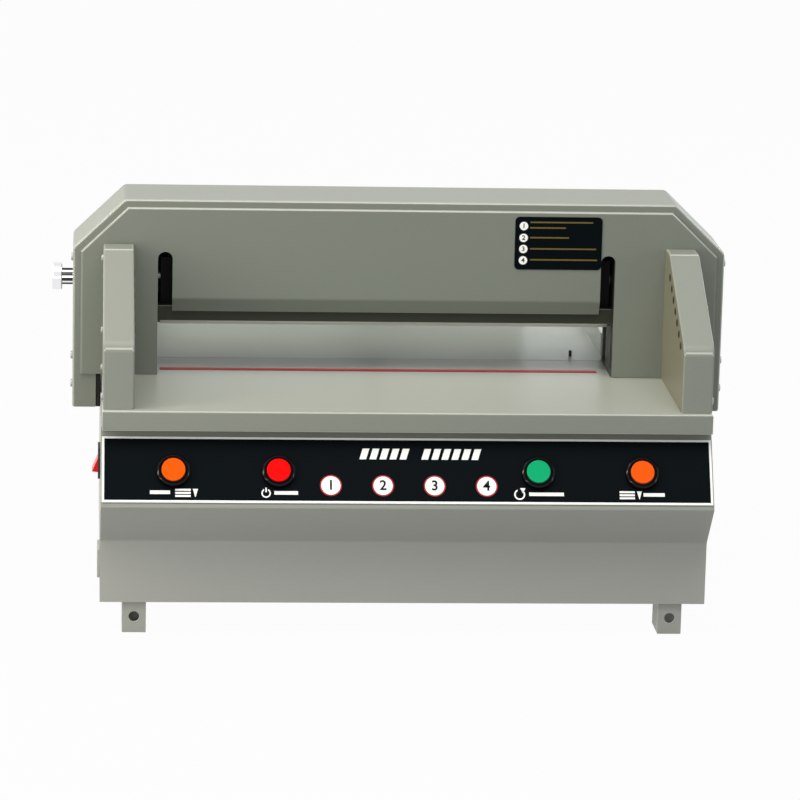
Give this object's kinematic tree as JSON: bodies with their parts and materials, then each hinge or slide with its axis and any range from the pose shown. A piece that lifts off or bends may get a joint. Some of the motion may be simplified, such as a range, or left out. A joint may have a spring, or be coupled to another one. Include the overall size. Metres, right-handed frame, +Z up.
{
  "type": "desktop paper cutter",
  "caption": "Desktop guillotine paper cutter with a powered knife and clamp under a chamfered hood, light-barrier wings, a slanted push-button panel and a hinged clear rear cover.",
  "frame": {"origin": "middle of the machine's footprint on the floor, under the feet", "axes": "+X to the right as the operator sees it, +Y from the operator to the rear, +Z up"},
  "size_m": [0.678, 0.5838, 0.4067],
  "materials": {
    "paint": "semi-gloss powder coat",
    "table_paint": "glossy powder coat",
    "foot_paint": "semi-gloss powder coat",
    "dark_steel": "blackened and oiled",
    "steel": "ground",
    "chrome": "plated",
    "gauge": "anodised",
    "bronze": "turned",
    "motor": "painted casting",
    "belt": "toothed belt",
    "board": "solder mask",
    "control_plate": "printed satin label",
    "black_plastic": "moulded",
    "bezel": "polished",
    "stick": "extruded",
    "orange_lens": "moulded lens",
    "red_lens": "moulded lens",
    "green_lens": "moulded lens",
    "clear": "clear acrylic"
  },
  "bodies": {
    "machine": {"bottom_plate": "paint", "left_side_frame": "dark_steel", "right_side_frame": "dark_steel", "bridge_beam": "dark_steel", "left_side_panel": "paint", "right_side_panel": "paint", "front_cover": "paint", "rear_panel": "paint", "control_plate": "control_plate", "front_left_foot": "foot_paint", "front_right_foot": "foot_paint", "rear_left_foot": "foot_paint", "rear_right_foot": "foot_paint", "front_table": "table_paint", "rear_table": "table_paint", "cutting_stick": "stick", "left_wing": "paint", "right_wing": "paint", "left_light_barrier": "black_plastic", "right_light_barrier": "black_plastic", "hood_shell": "paint", "hood_front_plate": "paint", "hood_rear_plate": "paint", "drive_chain": "dark_steel", "knife_gearmotor": "motor", "screw_bearings": "steel", "clamp_belt": "belt", "clamp_motor": "motor", "power_lamp": "red_lens", "button_bezels": "bezel", "switch_blocks": "black_plastic", "rocker_frame": "black_plastic", "gauge_rail": "steel", "side_guides": "gauge", "cover_hinges": "steel", "side_vents": "paint", "control_board": "board", "power_inlet": "black_plastic", "casing_screws": "steel"},
    "knife": {"knife_carrier": "dark_steel", "knife_blade": "steel", "knife_bolts": "steel", "knife_racks": "steel"},
    "drive_shaft": {"cross_shaft": "steel", "rack_pinions": "steel", "shaft_sprocket": "steel"},
    "motor_shaft": {"motor_sprocket": "steel"},
    "clamp": {"clamp_beam": "dark_steel", "clamp_nuts": "bronze"},
    "left_screw": {"left_clamp_screw": "steel"},
    "right_screw": {"right_clamp_screw": "steel"},
    "clamp_motor_shaft": {"motor_pulley": "steel"},
    "cut_button_left": {"left_cut_button": "orange_lens"},
    "cut_button_right": {"right_cut_button": "orange_lens"},
    "reset_key": {"reset_button": "green_lens"},
    "rocker": {"power_rocker": "red_lens"},
    "knob": {"depth_knob": "chrome"},
    "gauge": {"back_gauge": "gauge"},
    "gauge_lock": {"gauge_lock_knob": "black_plastic"},
    "cover": {"rear_cover": "clear"}
  },
  "joints": [
    {"name": "knife_slide", "type": "slide", "parent": "machine", "child": "knife", "axis": [0, 0, -1], "range_m": [0, 0.0464]},
    {"name": "drive_shaft_turn", "type": "hinge", "parent": "machine", "child": "drive_shaft", "pos_m": [0.0095, -0.0586, 0.3215], "axis": [1, 0, 0], "range_deg": [-2, 136]},
    {"name": "motor_shaft_turn", "type": "hinge", "parent": "machine", "child": "motor_shaft", "pos_m": [0.0095, -0.0586, 0.134], "axis": [1, 0, 0], "range_deg": [-2, 136]},
    {"name": "clamp_slide", "type": "slide", "parent": "machine", "child": "clamp", "axis": [0, 0, -1], "range_m": [0, 0.047]},
    {"name": "left_screw_turn", "type": "hinge", "parent": "machine", "child": "left_screw", "pos_m": [-0.2764, -0.0371, 0.229], "axis": [0, 0, 1], "range_deg": [-10, 1420]},
    {"name": "right_screw_turn", "type": "hinge", "parent": "machine", "child": "right_screw", "pos_m": [0.269, -0.0371, 0.229], "axis": [0, 0, 1], "range_deg": [-10, 1420]},
    {"name": "clamp_motor_turn", "type": "hinge", "parent": "machine", "child": "clamp_motor_shaft", "pos_m": [-0.0505, -0.0371, 0.229], "axis": [0, 0, 1], "range_deg": [-10, 1420]},
    {"name": "left_cut_press", "type": "slide", "parent": "machine", "child": "cut_button_left", "axis": [0, 0.8535, -0.5211], "range_m": [0, 0.003], "stiffness_N_per_m": 400, "springref_m": -0.002},
    {"name": "right_cut_press", "type": "slide", "parent": "machine", "child": "cut_button_right", "axis": [0, 0.8535, -0.5211], "range_m": [0, 0.003], "stiffness_N_per_m": 400, "springref_m": -0.002},
    {"name": "reset_press", "type": "slide", "parent": "machine", "child": "reset_key", "axis": [0, 0.8535, -0.5211], "range_m": [0, 0.003], "stiffness_N_per_m": 400, "springref_m": -0.002},
    {"name": "rocker_tilt", "type": "hinge", "parent": "machine", "child": "rocker", "pos_m": [-0.286, -0.1681, 0.155], "axis": [0, -1, 0], "range_deg": [0, 20]},
    {"name": "knob_turn", "type": "hinge", "parent": "machine", "child": "knob", "pos_m": [-0.318, -0.0361, 0.315], "axis": [1, 0, 0], "range_deg": [-170, 170]},
    {"name": "gauge_slide", "type": "slide", "parent": "machine", "child": "gauge", "axis": [0, 1, 0], "range_m": [-0.186, 0.04]},
    {"name": "gauge_lock_turn", "type": "hinge", "parent": "gauge", "child": "gauge_lock", "pos_m": [0.0163, 0.2059, 0.282], "axis": [1, 0, 0], "range_deg": [0, 120]},
    {"name": "cover_hinge", "type": "hinge", "parent": "machine", "child": "cover", "pos_m": [0.0095, -0.0101, 0.301], "axis": [1, 0, 0], "range_deg": [0, 90]}
  ],
  "couplings": [
    {"joint": "drive_shaft_turn", "follows": "knife_slide", "rad_per_m": 50},
    {"joint": "motor_shaft_turn", "follows": "knife_slide", "rad_per_m": 50},
    {"joint": "left_screw_turn", "follows": "clamp_slide", "rad_per_m": 523.6},
    {"joint": "right_screw_turn", "follows": "clamp_slide", "rad_per_m": 523.6},
    {"joint": "clamp_motor_turn", "follows": "clamp_slide", "rad_per_m": 523.6}
  ]
}
